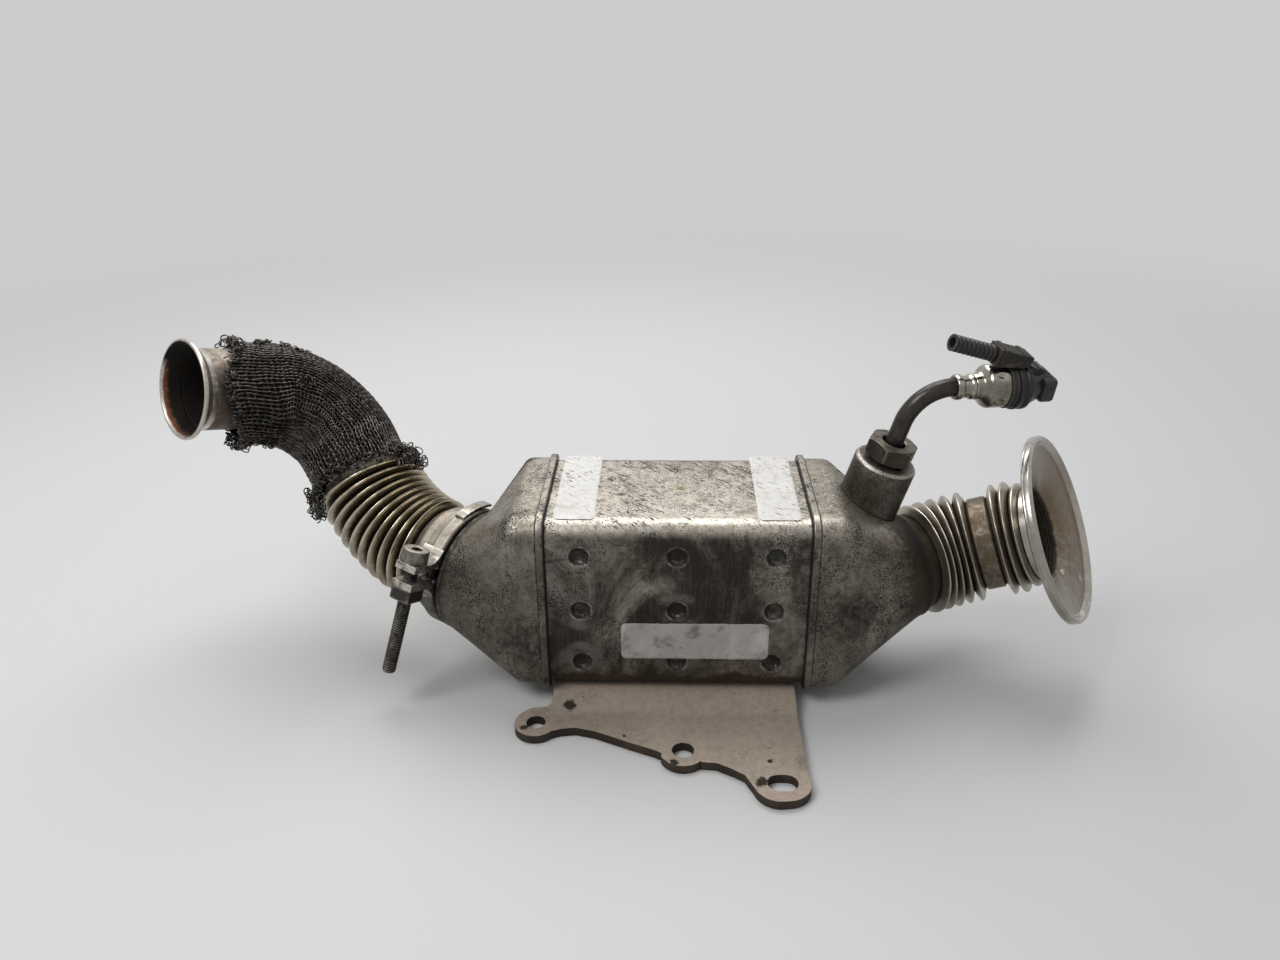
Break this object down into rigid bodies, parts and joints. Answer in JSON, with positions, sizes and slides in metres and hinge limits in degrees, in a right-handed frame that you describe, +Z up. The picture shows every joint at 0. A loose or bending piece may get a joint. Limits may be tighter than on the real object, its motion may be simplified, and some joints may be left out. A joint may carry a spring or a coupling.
{
  "type": "exhaust gas recirculation cooler",
  "caption": "Exhaust gas recirculation cooler: dimpled box core between two diffusers, bellows pipes with end flanges, knitted wire sleeve, sensor with plug and mounting bracket.",
  "frame": {"origin": "axis of the bracket's middle hole at the seat under the bracket", "axes": "+X along the core from the outlet pipe to the inlet flange, +Z up out of the middle hole, +Y from the bracket to the core"},
  "size_m": [0.4201, 0.1754, 0.1567],
  "materials": {
    "stained_steel": "stained, grainy",
    "fin_sheet": "plain sheet",
    "diffuser_steel": "stained, speckled",
    "boss_steel": "turned, stained",
    "dark_fastener": "dark, dull",
    "sensor_steel": "satin",
    "dark_stem": "satin, dark",
    "seal_rubber": "matte",
    "black_plastic": "matte",
    "brown_plastic": "dull",
    "conduit_plastic": "matte",
    "bellows_steel": "bright with brown valleys",
    "bright_flange": "polished, worn",
    "clamp_steel": "dull, stained",
    "gasket": "dark",
    "tinted_bellows": "heat tinted",
    "pipe_steel": "heat tinted",
    "knit_wire": "oxidised wire",
    "bracket_steel": "matte, worn"
  },
  "bodies": {
    "root": {"core_case": "stained_steel", "header_inlet": "stained_steel", "header_outlet": "stained_steel", "gas_tube_1": "stained_steel", "gas_tube_2": "stained_steel", "gas_tube_3": "stained_steel", "gas_tube_4": "stained_steel", "gas_tube_5": "stained_steel", "gas_tube_6": "stained_steel", "gas_tube_7": "stained_steel", "fin_1": "fin_sheet", "fin_2": "fin_sheet", "fin_3": "fin_sheet", "fin_4": "fin_sheet", "fin_5": "fin_sheet", "fin_6": "fin_sheet", "fin_7": "fin_sheet", "inlet_diffuser": "diffuser_steel", "outlet_diffuser": "diffuser_steel", "coolant_inlet_pipe": "stained_steel", "coolant_outlet_pipe": "stained_steel", "sensor_boss": "boss_steel", "sensor_nut": "dark_fastener", "sensor_probe": "sensor_steel", "sensor_stem": "dark_stem", "stem_ferrule": "sensor_steel", "plug_sleeve": "sensor_steel", "plug_seal": "seal_rubber", "harness_plug": "black_plastic", "plug_latch": "black_plastic", "conduit_clip": "brown_plastic", "conduit_stub": "conduit_plastic", "inlet_neck": "bellows_steel", "inlet_bellows": "bellows_steel", "inlet_flange": "bright_flange", "clamp_band": "clamp_steel", "clamp_tongue": "clamp_steel", "clamp_screw": "dark_fastener", "clamp_trunnion": "dark_fastener", "joint_gasket": "gasket", "outlet_collar": "diffuser_steel", "outlet_cuff": "clamp_steel", "outlet_bellows": "tinted_bellows", "elbow_lead_pipe": "pipe_steel", "elbow_pipe": "pipe_steel", "tail_pipe": "pipe_steel", "mesh_sleeve": "knit_wire", "outlet_flange": "bright_flange", "bracket": "bracket_steel"}
  },
  "joints": []
}
